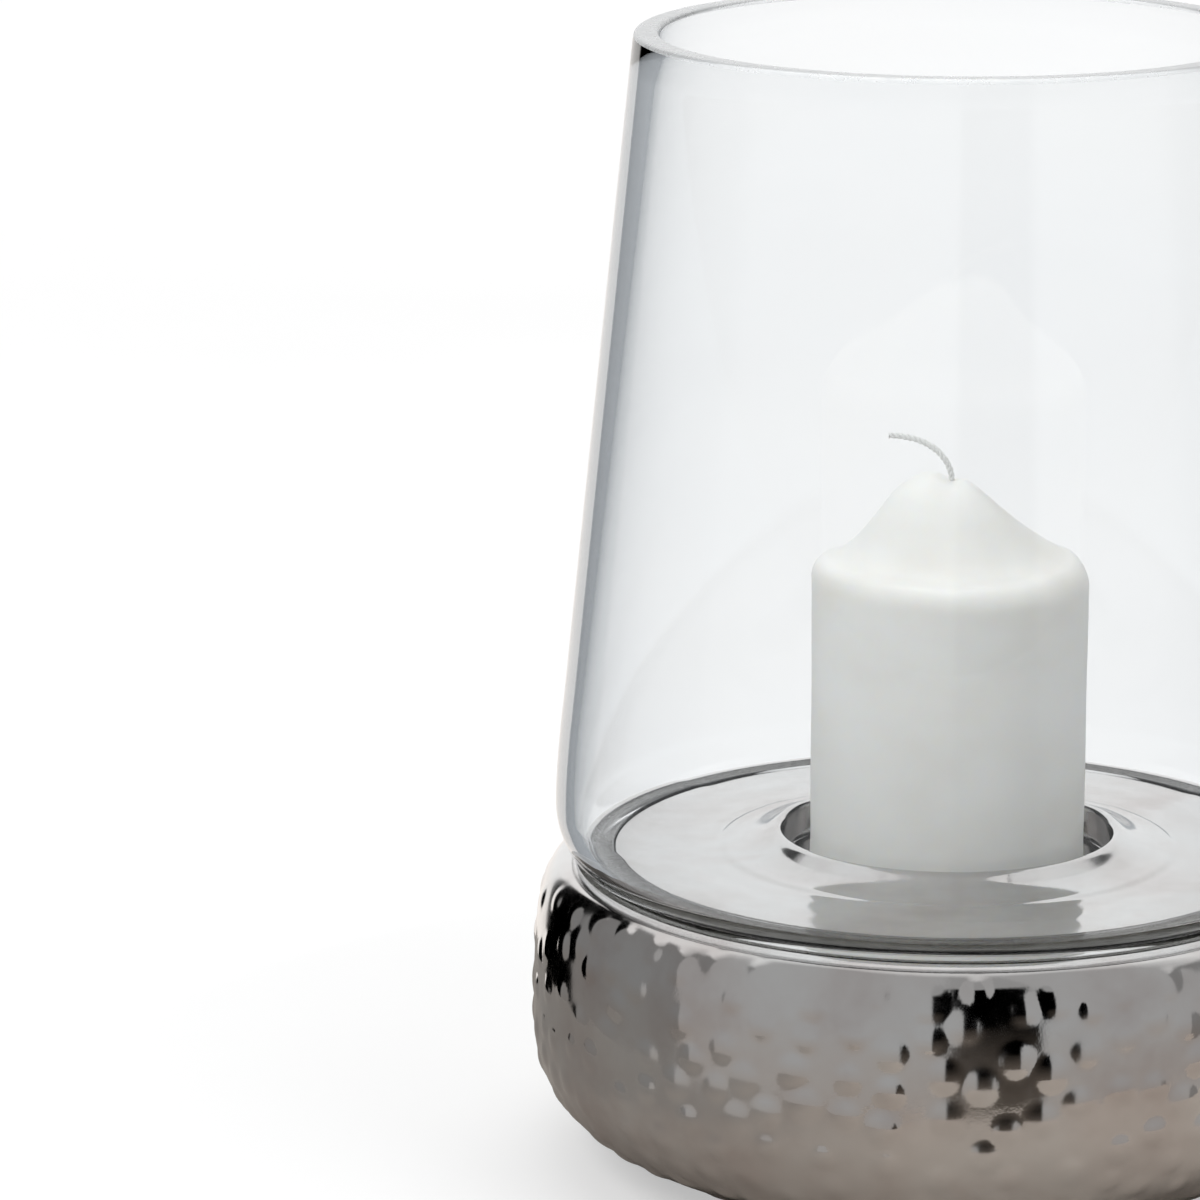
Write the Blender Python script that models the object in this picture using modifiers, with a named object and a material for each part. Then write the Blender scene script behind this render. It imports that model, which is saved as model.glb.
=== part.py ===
"""Hurricane candle lantern: a clear glass chimney standing on a squat hammered ceramic base,
with a pillar candle in a shallow well at the middle.

Metres, +Z up. The origin is the centre of the circle on which the four felt pads stand.
"""
import math

import bpy

# ---- driving dimensions ----
GAP = 0.0003                  # clearance between pieces that touch
CUT_MARGIN = 0.002            # how far a cutter reaches past what it cuts
STEPS = 64                    # segments round every large turned piece
SMALL_STEPS = 32              # segments round the small turned pieces

PAD_RADIUS = 0.0045
PAD_THICKNESS = 0.0015
PAD_COUNT = 4
PAD_CIRCLE = 0.051            # radius of the circle on which the pads sit

FOOT_Z = PAD_THICKNESS + GAP  # underside of the ceramic foot ring
FOOT_INNER = 0.046            # mouth of the hollow underside
FOOT_OUTER = 0.056
BELLY_RADIUS = 0.1063         # widest circle of the base
BELLY_Z = 0.0371
LIP_RADIUS = 0.0952           # edge of the recess in which the chimney stands
LIP_Z = 0.0774
SHOULDER_POWER = 2.9          # squareness of the curve from lip to belly
UNDER_POWER = 2.5             # squareness of the curve from belly to foot
BASE_WALL = 0.005

SEAT_Z = 0.0761               # floor of the groove that carries the chimney
SEAT_INNER = 0.0849
SEAT_OUTER = 0.0942
SEAT_BEVEL = 0.0003           # broken edge between the dish and the groove
TERRACE_RADIUS = 0.058        # soft step in the floor of the dish
TERRACE_Z = 0.0812
TERRACE_DROP = 0.0007
TERRACE_EDGE = 0.0015         # half width of the step's slope
COLLAR_RADIUS = 0.0435        # crest of the ring round the candle well
COLLAR_Z = 0.0855
COLLAR_FOOT = 0.051
COLLAR_APRON = 0.0015         # how far the collar's foot runs out into the dish
COLLAR_EASE = 0.0005          # height lost between the crest and the foot's curve
WELL_FILLET = 0.002
WELL_RADIUS = 0.042
WELL_Z = 0.0765
ROOF_Z = 0.0700               # ceiling of the hollow below the dish
ROOF_OVERHANG = 0.0021        # the ceiling reaches this far out past the groove's inner edge

GLASS_BOTTOM_Z = SEAT_Z + GAP
GLASS_RIM_Z = 0.2890
GLASS_RIM_RADIUS = 0.0804
GLASS_RIM_WALL = 0.0064
GLASS_HEEL_RADIUS = 0.0999    # widest circle of the chimney
GLASS_HEEL_Z = 0.0921
GLASS_HEEL_WALL = 0.0046
GLASS_SEAT_OUTER = 0.0892     # ground ring on which the chimney stands
GLASS_SEAT_INNER = 0.0852
GLASS_STRAIGHT_Z = 0.1180     # the straight taper ends and the heel's curve begins
GLASS_EDGE = 0.0009           # rounding of the rim and of the ground ring
TAPER_INSET = 0.0020          # the taper meets the heel's curve this far inside the widest circle
TAPER_EASE = 1.55             # how the outside runs from the heel into the taper
WALL_GROWTH = 0.0002          # the wall is this much thicker where the taper starts
HEEL_INSET = 0.0008           # inside, half way up the heel's curve, short of the widest circle

CANDLE_RADIUS = 0.035
CANDLE_BOTTOM_Z = WELL_Z + GAP
CANDLE_SHOULDER_Z = 0.1500
CANDLE_CROWN_Z = 0.1545       # level to which the melted slope runs out
CANDLE_PEAK_RISE = 0.0235
CANDLE_PEAK_WIDTH = 0.019
CANDLE_PEAK_POWER = 2.4
CANDLE_SHOULDER = 0.0020      # width of the rounding between side and crown
CANDLE_PEAK_LEAN = 0.0040     # the peak stands this far to -X of the wick
CANDLE_FOOT_ROUND = 0.0012

WICK_RADIUS = 0.0009
WICK_BORE = WICK_RADIUS + GAP
WICK_BOTTOM_Z = CANDLE_BOTTOM_Z + 0.0008
WICK_EXIT_Z = 0.1760          # the wick runs straight up to here, then curls over
WICK_TOP_Z = 0.1874
WICK_REACH = 0.0164
WICK_LEAN = 1.6               # how late the curl leaves the upright
WICK_LEVEL = 0.85             # how early the curl levels out

TAB_RADIUS = 0.0100
TAB_THICKNESS = 0.0005
TAB_NECK_RADIUS = 0.0021
TAB_NECK_HEIGHT = 0.0060


# ---- helpers ----
def clear_scene():
    for obj in list(bpy.data.objects):
        bpy.data.objects.remove(obj, do_unlink=True)


def new_collection(name):
    collection = bpy.data.collections.new(name)
    bpy.context.scene.collection.children.link(collection)
    return collection


def principled(name, color, roughness, metallic=0.0, transmission=0.0):
    material = bpy.data.materials.new(name)
    material.use_nodes = True
    shader = material.node_tree.nodes["Principled BSDF"]
    shader.inputs["Base Color"].default_value = (*color, 1.0)
    shader.inputs["Roughness"].default_value = roughness
    shader.inputs["Metallic"].default_value = metallic
    shader.inputs["Transmission Weight"].default_value = transmission
    material.diffuse_color = (*color, 1.0)
    return material


def ellipse_arc(center, radii, start, end, count):
    """Points (x, z) on an ellipse, both ends included; angles in degrees from +X towards +Z."""
    points = []
    for i in range(count + 1):
        angle = math.radians(start + (end - start) * i / count)
        points.append((center[0] + radii[0] * math.cos(angle),
                       center[1] + radii[1] * math.sin(angle)))
    return points


def super_quarter(pole, equator, power, count):
    """Points from the pole to the equator of a squared-off quarter ellipse.

    The curve is level at the pole and upright at the equator.
    """
    points = []
    for i in range(count + 1):
        angle = 0.5 * math.pi * i / count
        across = math.sin(angle) ** (2.0 / power)
        along = math.cos(angle) ** (2.0 / power)
        points.append((pole[0] + (equator[0] - pole[0]) * across,
                       equator[1] + (pole[1] - equator[1]) * along))
    return points


def mesh_object(name, points, edges, collection):
    mesh = bpy.data.meshes.new(name)
    mesh.from_pydata([(x, 0.0, z) for x, z in points], edges, [])
    obj = bpy.data.objects.new(name, mesh)
    collection.objects.link(obj)
    return obj


def realise(obj):
    """Replace an object's data by the mesh that its curve or modifiers make."""
    evaluated = obj.evaluated_get(bpy.context.evaluated_depsgraph_get())
    mesh = bpy.data.meshes.new_from_object(evaluated)
    mesh.name = obj.name
    obj.modifiers.clear()
    obj.data = mesh


def shade(obj, material, angle=32.0):
    obj.data.materials.clear()
    obj.data.materials.append(material)
    obj.data.shade_smooth()
    obj.data.set_sharp_from_angle(angle=math.radians(angle))


def turned(name, points, steps, collection, ring=False):
    """Turn a profile (x, z) round Z. A ring's profile closes on itself."""
    edges = [(i, i + 1) for i in range(len(points) - 1)]
    if ring:
        edges.append((len(points) - 1, 0))
    obj = mesh_object(name, points, edges, collection)
    screw = obj.modifiers.new("Turn", "SCREW")
    screw.axis = "Z"
    screw.angle = math.tau
    screw.steps = steps
    screw.render_steps = steps
    screw.use_merge_vertices = True
    screw.merge_threshold = 0.00001
    bpy.context.view_layer.update()
    realise(obj)
    return obj


def cut(target, cutter):
    """Take one closed object out of another."""
    boolean = target.modifiers.new("Cut", "BOOLEAN")
    boolean.operation = "DIFFERENCE"
    boolean.solver = "EXACT"
    boolean.object = cutter
    cutter.hide_render = True
    cutter.display_type = "WIRE"
    bpy.context.view_layer.update()
    realise(target)


# ---- ceramic base ----
def dish_profile():
    """The top of the base, from the middle of the candle well out to the lip."""
    points = [(0.0, WELL_Z)]
    points += ellipse_arc((WELL_RADIUS - WELL_FILLET, WELL_Z + WELL_FILLET),
                          (WELL_FILLET, WELL_FILLET), -90.0, 0.0, 3)
    crest = COLLAR_RADIUS - WELL_RADIUS
    points += ellipse_arc((COLLAR_RADIUS, COLLAR_Z - crest), (crest, crest), 180.0, 60.0, 5)
    apron = COLLAR_FOOT - COLLAR_RADIUS
    points += ellipse_arc((COLLAR_FOOT + COLLAR_APRON, COLLAR_Z - COLLAR_EASE),
                          (apron, COLLAR_Z - COLLAR_EASE - TERRACE_Z), 205.0, 270.0, 4)
    dish_z = TERRACE_Z - TERRACE_DROP
    points += [(TERRACE_RADIUS - TERRACE_EDGE, TERRACE_Z),
               (TERRACE_RADIUS, TERRACE_Z - 0.5 * TERRACE_DROP),
               (TERRACE_RADIUS + TERRACE_EDGE, dish_z),
               (SEAT_INNER - SEAT_BEVEL, dish_z), (SEAT_INNER, dish_z - SEAT_BEVEL)]
    points += [(SEAT_INNER, SEAT_Z), (SEAT_OUTER, SEAT_Z)]
    return points


def outer_profile():
    """The outside of the base, from the lip over the belly to the foot ring."""
    shoulder = super_quarter((LIP_RADIUS, LIP_Z), (BELLY_RADIUS, BELLY_Z), SHOULDER_POWER, 10)
    under = super_quarter((FOOT_OUTER, FOOT_Z), (BELLY_RADIUS, BELLY_Z), UNDER_POWER, 11)
    return shoulder + under[-2::-1]


def hollow_profile():
    """The hollow of the base, from the mouth in the foot ring up to the roof's middle."""
    inner_belly = BELLY_RADIUS - BASE_WALL
    floor_z = FOOT_Z + BASE_WALL
    under = super_quarter((FOOT_OUTER, floor_z), (inner_belly, BELLY_Z), UNDER_POWER, 6)
    shoulder = super_quarter((SEAT_INNER + ROOF_OVERHANG, ROOF_Z), (inner_belly, BELLY_Z), SHOULDER_POWER, 6)
    return [(FOOT_INNER, FOOT_Z), (FOOT_INNER, floor_z)] + under + shoulder[-2::-1] + [(0.0, ROOF_Z)]


def make_base(collection, material):
    profile = dish_profile() + outer_profile() + hollow_profile()
    shade(turned("ceramic_base", profile, STEPS, collection), material)


# ---- glass chimney ----
def chimney_outer():
    """Outside of the chimney, from under the rim down to the ground ring."""
    taper = (GLASS_HEEL_RADIUS - TAPER_INSET - GLASS_RIM_RADIUS) / (GLASS_RIM_Z - GLASS_STRAIGHT_Z)
    points = [(GLASS_RIM_RADIUS + taper * GLASS_EDGE, GLASS_RIM_Z - GLASS_EDGE)]
    straight_radius = GLASS_RIM_RADIUS + taper * (GLASS_RIM_Z - GLASS_STRAIGHT_Z)
    for i in range(1, 4):
        t = i / 3.0
        points.append((points[0][0] + (straight_radius - points[0][0]) * t,
                       points[0][1] + (GLASS_STRAIGHT_Z - points[0][1]) * t))
    rise = GLASS_STRAIGHT_Z - GLASS_HEEL_Z
    for t in (2.0 / 3.0, 1.0 / 3.0):
        points.append((GLASS_HEEL_RADIUS - (GLASS_HEEL_RADIUS - straight_radius) * t ** TAPER_EASE,
                       GLASS_HEEL_Z + rise * t))
    points += ellipse_arc((GLASS_SEAT_OUTER, GLASS_HEEL_Z),
                          (GLASS_HEEL_RADIUS - GLASS_SEAT_OUTER, GLASS_HEEL_Z - GLASS_BOTTOM_Z),
                          0.0, -90.0, 9)
    return points


def chimney_inner():
    """Inside of the chimney, from the ground ring up to the rim."""
    heel = GLASS_HEEL_WALL
    points = [(GLASS_SEAT_INNER, GLASS_BOTTOM_Z),
              (GLASS_SEAT_INNER, GLASS_BOTTOM_Z + heel - GLASS_EDGE),
              (GLASS_SEAT_INNER + GLASS_EDGE, GLASS_BOTTOM_Z + heel)]
    points += ellipse_arc((GLASS_SEAT_OUTER, GLASS_HEEL_Z),
                          (GLASS_HEEL_RADIUS - GLASS_SEAT_OUTER - heel,
                           GLASS_HEEL_Z - GLASS_BOTTOM_Z - heel),
                          -85.0, 0.0, 7)
    straight_radius = GLASS_HEEL_RADIUS - TAPER_INSET - heel - WALL_GROWTH
    points.append((GLASS_HEEL_RADIUS - heel - HEEL_INSET, 0.5 * (GLASS_HEEL_Z + GLASS_STRAIGHT_Z)))
    rim_inner = GLASS_RIM_RADIUS - GLASS_RIM_WALL
    for i in range(4):
        t = i / 3.0
        points.append((straight_radius + (rim_inner - straight_radius) * t,
                       GLASS_STRAIGHT_Z + (GLASS_RIM_Z - GLASS_EDGE - GLASS_STRAIGHT_Z) * t))
    return points


def make_chimney(collection, material):
    rim = ellipse_arc((GLASS_RIM_RADIUS - GLASS_RIM_WALL + GLASS_EDGE, GLASS_RIM_Z - GLASS_EDGE),
                      (GLASS_EDGE, GLASS_EDGE), 150.0, 90.0, 2)
    rim += ellipse_arc((GLASS_RIM_RADIUS - GLASS_EDGE, GLASS_RIM_Z - GLASS_EDGE),
                       (GLASS_EDGE, GLASS_EDGE), 90.0, 30.0, 2)
    profile = rim + chimney_outer() + chimney_inner()
    shade(turned("glass_chimney", profile, STEPS, collection, ring=True), material)


# ---- candle ----
def crown_height(distance):
    """Height of the melted slope at a distance from the peak."""
    return CANDLE_CROWN_Z + CANDLE_PEAK_RISE * math.exp(-(distance / CANDLE_PEAK_WIDTH) ** CANDLE_PEAK_POWER)


def candle_profile():
    crown_radius = CANDLE_RADIUS - CANDLE_SHOULDER
    points = [(0.0, crown_height(0.0))]
    for i in range(1, 12):
        radius = crown_radius * i / 11.0
        points.append((radius, crown_height(radius)))
    edge_z = points[-1][1]
    points += ellipse_arc((crown_radius, CANDLE_SHOULDER_Z),
                          (CANDLE_SHOULDER, edge_z - CANDLE_SHOULDER_Z), 60.0, 0.0, 3)
    points += ellipse_arc((CANDLE_RADIUS - CANDLE_FOOT_ROUND, CANDLE_BOTTOM_Z + CANDLE_FOOT_ROUND),
                          (CANDLE_FOOT_ROUND, CANDLE_FOOT_ROUND), 0.0, -90.0, 3)
    recess = TAB_RADIUS + GAP
    points += [(recess, CANDLE_BOTTOM_Z), (recess, CANDLE_BOTTOM_Z + TAB_THICKNESS + 2.0 * GAP),
               (0.0, CANDLE_BOTTOM_Z + TAB_THICKNESS + 2.0 * GAP)]
    return points


def lean_crown(obj):
    """Push the crown sideways in proportion to its height, so the peak stands beside the wick."""
    for vertex in obj.data.vertices:
        rise = (vertex.co.z - CANDLE_SHOULDER_Z) / CANDLE_PEAK_RISE
        if rise > 0.0:
            vertex.co.x -= CANDLE_PEAK_LEAN * min(rise, 1.0)


def bore_profile():
    """The wick's bore, widened at its foot for the sustainer's neck."""
    neck = TAB_NECK_RADIUS + GAP
    neck_top = CANDLE_BOTTOM_Z + TAB_NECK_HEIGHT + 2.0 * GAP
    top = CANDLE_CROWN_Z + CANDLE_PEAK_RISE + CUT_MARGIN
    bottom = CANDLE_BOTTOM_Z - CUT_MARGIN
    return [(0.0, top), (WICK_BORE, top), (WICK_BORE, neck_top), (neck, neck_top),
            (neck, bottom), (0.0, bottom)]


def make_candle(collection, cutters, material):
    candle = turned("pillar_candle", candle_profile(), 48, collection)
    lean_crown(candle)
    bore = turned("wick_bore_cutter", bore_profile(), 12, cutters)
    cut(candle, bore)
    shade(candle, material)


# ---- wick and its sustainer ----
def wick_route():
    """Straight up through the candle, then a curl over to -X that ends nearly level."""
    points = [(0.0, WICK_BOTTOM_Z), (0.0, 0.5 * (WICK_BOTTOM_Z + WICK_EXIT_Z)), (0.0, WICK_EXIT_Z)]
    count = 10
    for i in range(1, count + 1):
        t = i / count
        reach = WICK_REACH * t ** WICK_LEAN
        lift = (WICK_TOP_Z - WICK_EXIT_Z) * math.sin(0.5 * math.pi * t ** WICK_LEVEL)
        points.append((-reach, WICK_EXIT_Z + lift))
    return points


def make_wick(collection, material):
    curve = bpy.data.curves.new("candle_wick", "CURVE")
    curve.dimensions = "3D"
    curve.bevel_depth = WICK_RADIUS
    curve.bevel_resolution = 2
    curve.use_fill_caps = True
    curve.resolution_u = 1
    curve.render_resolution_u = 0
    route = wick_route()
    spline = curve.splines.new("POLY")
    spline.points.add(len(route) - 1)
    for point, (x, z) in zip(spline.points, route):
        point.co = (x, 0.0, z, 1.0)
    curve.materials.append(material)
    wick = bpy.data.objects.new("candle_wick", curve)
    collection.objects.link(wick)


def make_sustainer(collection, material):
    bottom = CANDLE_BOTTOM_Z + GAP
    top = bottom + TAB_THICKNESS
    bore = WICK_RADIUS + GAP
    neck_top = CANDLE_BOTTOM_Z + TAB_NECK_HEIGHT
    profile = [(bore, neck_top), (TAB_NECK_RADIUS, neck_top), (TAB_NECK_RADIUS, top),
               (TAB_RADIUS, top), (TAB_RADIUS, bottom), (bore, bottom)]
    shade(turned("wick_sustainer", profile, SMALL_STEPS, collection, ring=True), material)


# ---- felt pads ----
def make_pads(collection, material):
    for index in range(PAD_COUNT):
        angle = math.tau * (index + 0.5) / PAD_COUNT
        bpy.ops.mesh.primitive_cylinder_add(
            vertices=24, radius=PAD_RADIUS, depth=PAD_THICKNESS,
            location=(PAD_CIRCLE * math.cos(angle), PAD_CIRCLE * math.sin(angle), 0.5 * PAD_THICKNESS))
        pad = bpy.context.object
        pad.name = f"felt_pad_{index + 1}"
        pad.data.name = pad.name
        for owner in list(pad.users_collection):
            owner.objects.unlink(pad)
        collection.objects.link(pad)
        shade(pad, material)


# ---- joints' parents ----
def hang_on_empties(collection):
    """The chimney and the candle each lift off along an empty on the lantern's axis."""
    lifts = {"chimney_lift": ("glass_chimney",),
             "candle_lift": ("pillar_candle", "candle_wick", "wick_sustainer")}
    for name, children in lifts.items():
        empty = bpy.data.objects.new(name, None)
        empty.empty_display_size = 0.02
        collection.objects.link(empty)
        for child in children:
            bpy.data.objects[child].parent = empty


def main():
    clear_scene()
    lantern = new_collection("hurricane_candle_lantern")
    cutters = new_collection("cutters")
    make_base(lantern, principled("silver_glaze", (0.55, 0.54, 0.52), 0.08, metallic=1.0))
    make_chimney(lantern, principled("clear_glass", (0.93, 0.95, 0.95), 0.02, transmission=1.0))
    make_candle(lantern, cutters, principled("candle_wax", (0.66, 0.66, 0.62), 0.45))
    make_wick(lantern, principled("cotton_wick", (0.62, 0.60, 0.56), 0.95))
    make_sustainer(lantern, principled("tinned_steel", (0.62, 0.62, 0.61), 0.35, metallic=1.0))
    make_pads(lantern, principled("felt", (0.09, 0.09, 0.10), 1.0))
    hang_on_empties(lantern)


main()
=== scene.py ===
"""Looks of the hurricane candle lantern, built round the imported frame.

Metres, +Z up, in the frame of the CAD model: the lantern's axis is the Z axis, the surface that it
stands on is z = 0, and -Y is the side that faces the viewer.
"""
import math
import random

import bpy
import numpy as np
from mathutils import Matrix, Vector


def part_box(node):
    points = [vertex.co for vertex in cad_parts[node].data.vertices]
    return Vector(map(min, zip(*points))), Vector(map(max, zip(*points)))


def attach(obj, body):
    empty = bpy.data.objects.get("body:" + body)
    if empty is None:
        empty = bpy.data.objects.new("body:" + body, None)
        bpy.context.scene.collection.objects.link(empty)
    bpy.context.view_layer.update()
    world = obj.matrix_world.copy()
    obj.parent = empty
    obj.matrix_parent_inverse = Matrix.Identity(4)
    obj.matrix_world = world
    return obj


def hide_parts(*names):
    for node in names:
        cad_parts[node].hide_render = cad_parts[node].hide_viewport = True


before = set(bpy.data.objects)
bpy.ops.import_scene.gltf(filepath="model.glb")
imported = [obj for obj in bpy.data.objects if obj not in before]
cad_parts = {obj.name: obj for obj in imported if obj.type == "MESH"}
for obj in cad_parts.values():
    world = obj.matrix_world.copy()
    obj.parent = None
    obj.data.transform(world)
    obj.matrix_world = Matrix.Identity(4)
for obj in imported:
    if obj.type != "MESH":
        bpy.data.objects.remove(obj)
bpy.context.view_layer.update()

BASE_LOW, BASE_HIGH = (Vector(corner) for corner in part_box("ceramic_base"))
GLASS_LOW, GLASS_HIGH = (Vector(corner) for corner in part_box("glass_chimney"))
CANDLE_LOW, CANDLE_HIGH = (Vector(corner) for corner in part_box("pillar_candle"))
WICK_LOW, WICK_HIGH = (Vector(corner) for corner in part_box("candle_wick"))
TAB_LOW, TAB_HIGH = (Vector(corner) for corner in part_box("wick_sustainer"))

GAP = 0.0003                  # clearance between pieces that touch, as in the CAD model
BELLY_RADIUS = BASE_HIGH.x
FOOT_Z = BASE_LOW.z
SEAT_Z = GLASS_LOW.z - GAP
RIM_Z = GLASS_HIGH.z
HEEL_RADIUS = GLASS_HIGH.x
CANDLE_RADIUS = CANDLE_HIGH.y


# ---- small helpers ----
def ellipse_arc(center, radii, start, end, count):
    """Points (radius, z) on an ellipse, both ends included; degrees from outward towards up."""
    points = []
    for i in range(count + 1):
        angle = math.radians(start + (end - start) * i / count)
        points.append((center[0] + radii[0] * math.cos(angle), center[1] + radii[1] * math.sin(angle)))
    return points


def super_quarter(pole, equator, power, count):
    """Points from the pole, where the curve is level, to the equator, where it is upright."""
    points = []
    for i in range(count + 1):
        angle = 0.5 * math.pi * i / count
        points.append((pole[0] + (equator[0] - pole[0]) * math.sin(angle) ** (2.0 / power),
                       equator[1] + (pole[1] - equator[1]) * math.cos(angle) ** (2.0 / power)))
    return points


def spread(points, spacing):
    """The same outline with its points evenly spread, about a spacing apart."""
    line = np.array(points)
    steps = np.hypot(*np.diff(line, axis=0).T)
    along = np.concatenate([[0.0], np.cumsum(steps)])
    count = max(1, int(round(along[-1] / spacing)))
    at = np.linspace(0.0, along[-1], count + 1)
    return list(zip(np.interp(at, along, line[:, 0]), np.interp(at, along, line[:, 1])))


def new_mesh(name, vertices, faces, smooth=True):
    mesh = bpy.data.meshes.new(name)
    mesh.from_pydata([tuple(v) for v in vertices], [], faces)
    mesh.update()
    obj = bpy.data.objects.new(name, mesh)
    bpy.context.scene.collection.objects.link(obj)
    if smooth:
        mesh.shade_smooth()
    return obj


def ring_faces(first, second, columns):
    """Quads between two rings of vertices, given by their first indices; the first is above."""
    return [(first + (i + 1) % columns, first + i, second + i, second + (i + 1) % columns)
            for i in range(columns)]


def profile_lengths(profile):
    """Distance along a profile from its first point to each of its points."""
    line = np.array(profile)
    return np.concatenate([[0.0], np.cumsum(np.hypot(*np.diff(line, axis=0).T))])


def profile_normals(profile):
    """Outward unit normals (radius, z) of a profile that runs down its outer side."""
    slope = np.gradient(np.array(profile), axis=0)
    slope /= np.hypot(slope[:, 0], slope[:, 1])[:, None]
    return np.stack([-slope[:, 1], slope[:, 0]], axis=1)


def ride(obj, body, slot, *nodes):
    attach(obj, body)
    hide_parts(*nodes)
    return obj


# ---- materials ----
def new_material(name):
    material = bpy.data.materials.new(name)
    material.use_nodes = True
    return material, material.node_tree, material.node_tree.nodes["Principled BSDF"]


def add(tree, kind, values=None, **settings):
    """A new node. settings are its properties and values its inputs' constants, by name or index."""
    node = tree.nodes.new(kind)
    for key, value in settings.items():
        setattr(node, key, value)
    for key, value in (values or {}).items():
        node.inputs[key].default_value = value
    return node


def noise(tree, scale, detail=3.0, roughness=0.5, stretch=None):
    """Solid noise in object space, scale in cycles per metre; stretch scales its axes."""
    coordinates = add(tree, "ShaderNodeTexCoord").outputs["Object"]
    if stretch:
        mapping = add(tree, "ShaderNodeMapping", {"Scale": stretch})
        tree.links.new(coordinates, mapping.inputs["Vector"])
        coordinates = mapping.outputs["Vector"]
    node = add(tree, "ShaderNodeTexNoise", {"Scale": scale, "Detail": detail, "Roughness": roughness})
    tree.links.new(coordinates, node.inputs["Vector"])
    return node.outputs["Fac"]


def ramp(tree, factor, stops):
    """Colour by factor. stops are (position, (r, g, b))."""
    node = add(tree, "ShaderNodeValToRGB")
    elements = node.color_ramp.elements
    while len(elements) < len(stops):
        elements.new(1.0)
    for element, (position, color) in zip(elements, stops):
        element.position = position
        element.color = (*color, 1.0)
    tree.links.new(factor, node.inputs["Fac"])
    return node.outputs["Color"]


def rescale(tree, factor, low, high, start=0.3, end=0.7):
    node = add(tree, "ShaderNodeMapRange", {1: start, 2: end, 3: low, 4: high})
    tree.links.new(factor, node.inputs["Value"])
    return node.outputs["Result"]


def mix_colors(tree, kind, factor, first, second):
    """Blend two colours; each may be a socket or a constant."""
    node = add(tree, "ShaderNodeMix", data_type="RGBA", blend_type=kind)
    sockets = (node.inputs["Factor"], node.inputs[6], node.inputs[7])
    for socket, value in zip(sockets, (factor, first, second)):
        if isinstance(value, bpy.types.NodeSocket):
            tree.links.new(value, socket)
        elif isinstance(value, tuple):
            socket.default_value = (*value, 1.0)
        else:
            socket.default_value = value
    return node.outputs[2]


def bump(tree, shader, heights):
    """Chain bumps; heights are (factor, distance in metres, strength)."""
    normal = None
    for factor, distance, strength in heights:
        node = add(tree, "ShaderNodeBump", {"Strength": strength, "Distance": distance})
        tree.links.new(factor, node.inputs["Height"])
        if normal:
            tree.links.new(normal, node.inputs["Normal"])
        normal = node.outputs["Normal"]
    tree.links.new(normal, shader.inputs["Normal"])


def glaze_material():
    """Silver lustre over ceramic: mirror-like, clouded and faintly warm in patches."""
    material, tree, shader = new_material("silver_lustre_glaze")
    shader.inputs["Metallic"].default_value = 1.0
    clouds = noise(tree, 30.0, 4.0, 0.55)
    tree.links.new(ramp(tree, clouds, [(0.30, (0.60, 0.56, 0.545)), (0.48, (0.69, 0.675, 0.665)),
                                       (0.62, (0.72, 0.72, 0.715)), (0.75, (0.66, 0.63, 0.62))]),
                   shader.inputs["Base Color"])
    haze = noise(tree, 55.0, 5.0, 0.6)
    tree.links.new(rescale(tree, haze, 0.05, 0.20, 0.35, 0.72), shader.inputs["Roughness"])
    bump(tree, shader, [(noise(tree, 95.0, 2.0), 0.0006, 0.10),
                        (noise(tree, 1400.0, 2.0), 0.00006, 0.12)])
    return material


def groove_material():
    """The groove under the chimney, glazed dark and dull: painted shade of the gap under the chimney's
    heel.
    """
    material, tree, shader = new_material("groove_painted_shade")
    tree.links.new(ramp(tree, noise(tree, 140.0, 4.0, 0.6), [(0.35, (0.055, 0.052, 0.044)),
                                                             (0.65, (0.105, 0.10, 0.088))]),
                   shader.inputs["Base Color"])
    shader.inputs["Metallic"].default_value = 0.35
    tree.links.new(rescale(tree, noise(tree, 200.0), 0.18, 0.32), shader.inputs["Roughness"])
    bump(tree, shader, [(noise(tree, 900.0, 3.0), 0.00008, 0.3)])
    return material


def bisque_material():
    """The unglazed, gritty clay of the foot ring and the hollow."""
    material, tree, shader = new_material("unglazed_ceramic")
    tree.links.new(ramp(tree, noise(tree, 260.0, 6.0, 0.7), [(0.30, (0.56, 0.52, 0.46)),
                                                             (0.50, (0.73, 0.70, 0.64)),
                                                             (0.70, (0.80, 0.78, 0.73))]),
                   shader.inputs["Base Color"])
    tree.links.new(rescale(tree, noise(tree, 120.0), 0.70, 0.92), shader.inputs["Roughness"])
    bump(tree, shader, [(noise(tree, 1500.0, 4.0, 0.7), 0.0002, 0.6)])
    return material


def see_through_shadows(material, tree, shader, tint):
    """Let light pass a glass surface on its way to what the glass covers."""
    output = tree.nodes["Material Output"]
    path = add(tree, "ShaderNodeLightPath")
    clear = add(tree, "ShaderNodeBsdfTransparent", {"Color": (*tint, 1.0)})
    mix = add(tree, "ShaderNodeMixShader")
    tree.links.new(path.outputs["Is Shadow Ray"], mix.inputs["Fac"])
    tree.links.new(shader.outputs["BSDF"], mix.inputs[1])
    tree.links.new(clear.outputs["BSDF"], mix.inputs[2])
    tree.links.new(mix.outputs["Shader"], output.inputs["Surface"])


def glass_material():
    """Clear soda glass, drawn while hot: faint upright waves and a trace of blue-grey."""
    material, tree, shader = new_material("clear_soda_glass")
    shader.inputs["Transmission Weight"].default_value = 1.0
    shader.inputs["IOR"].default_value = 1.5
    tree.links.new(ramp(tree, noise(tree, 12.0), [(0.35, (0.975, 0.985, 0.992)),
                                                  (0.65, (0.985, 0.992, 0.994))]),
                   shader.inputs["Base Color"])
    tree.links.new(rescale(tree, noise(tree, 60.0), 0.0, 0.012), shader.inputs["Roughness"])
    bump(tree, shader, [(noise(tree, 14.0, 1.0, stretch=(1.0, 1.0, 0.22)), 0.0008, 0.05)])
    see_through_shadows(material, tree, shader, (0.90, 0.915, 0.92))
    return material


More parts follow.
